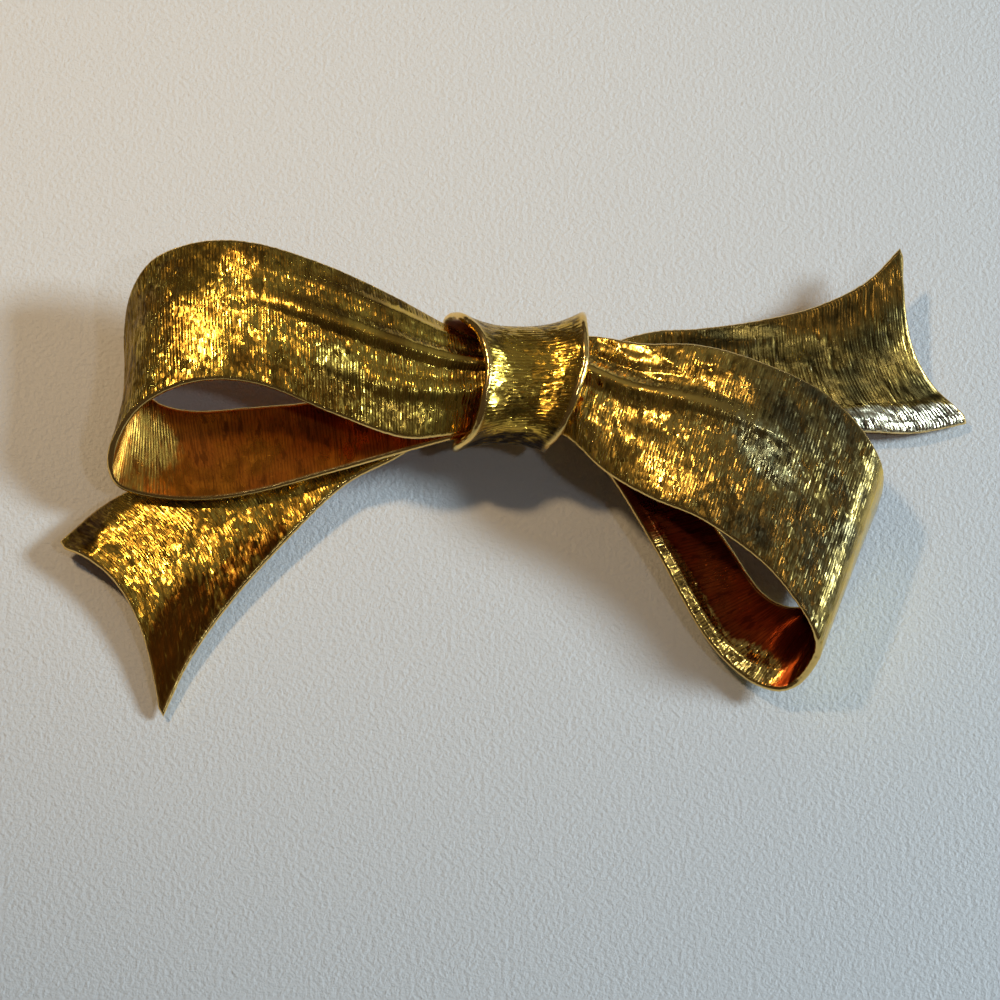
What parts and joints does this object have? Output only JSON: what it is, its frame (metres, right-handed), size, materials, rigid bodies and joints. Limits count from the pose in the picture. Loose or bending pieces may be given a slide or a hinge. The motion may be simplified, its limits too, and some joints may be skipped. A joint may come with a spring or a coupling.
{
  "type": "bow brooch",
  "caption": "Ribbon bow brooch in gold-plated sheet metal: two open loops, swallow-tailed ends, a waisted knot band and a pin back.",
  "frame": {"origin": "bottom centre of the box round the brooch as it lies on its back", "axes": "+X along the bow to the right as worn, +Y towards the brooch's upper side as worn, +Z out of its front"},
  "size_m": [0.0763, 0.0403, 0.012],
  "materials": {
    "gold_plate": "gold plate over cast or stamped base metal, finely engraved crosswise with irregular dents, bright rims",
    "pin_gold": "plain satin gold plate"
  },
  "bodies": {
    "root": {"left_loop": "gold_plate", "right_loop": "gold_plate", "left_tail": "gold_plate", "right_tail": "gold_plate", "knot": "gold_plate", "pin_back": "pin_gold"}
  },
  "joints": []
}
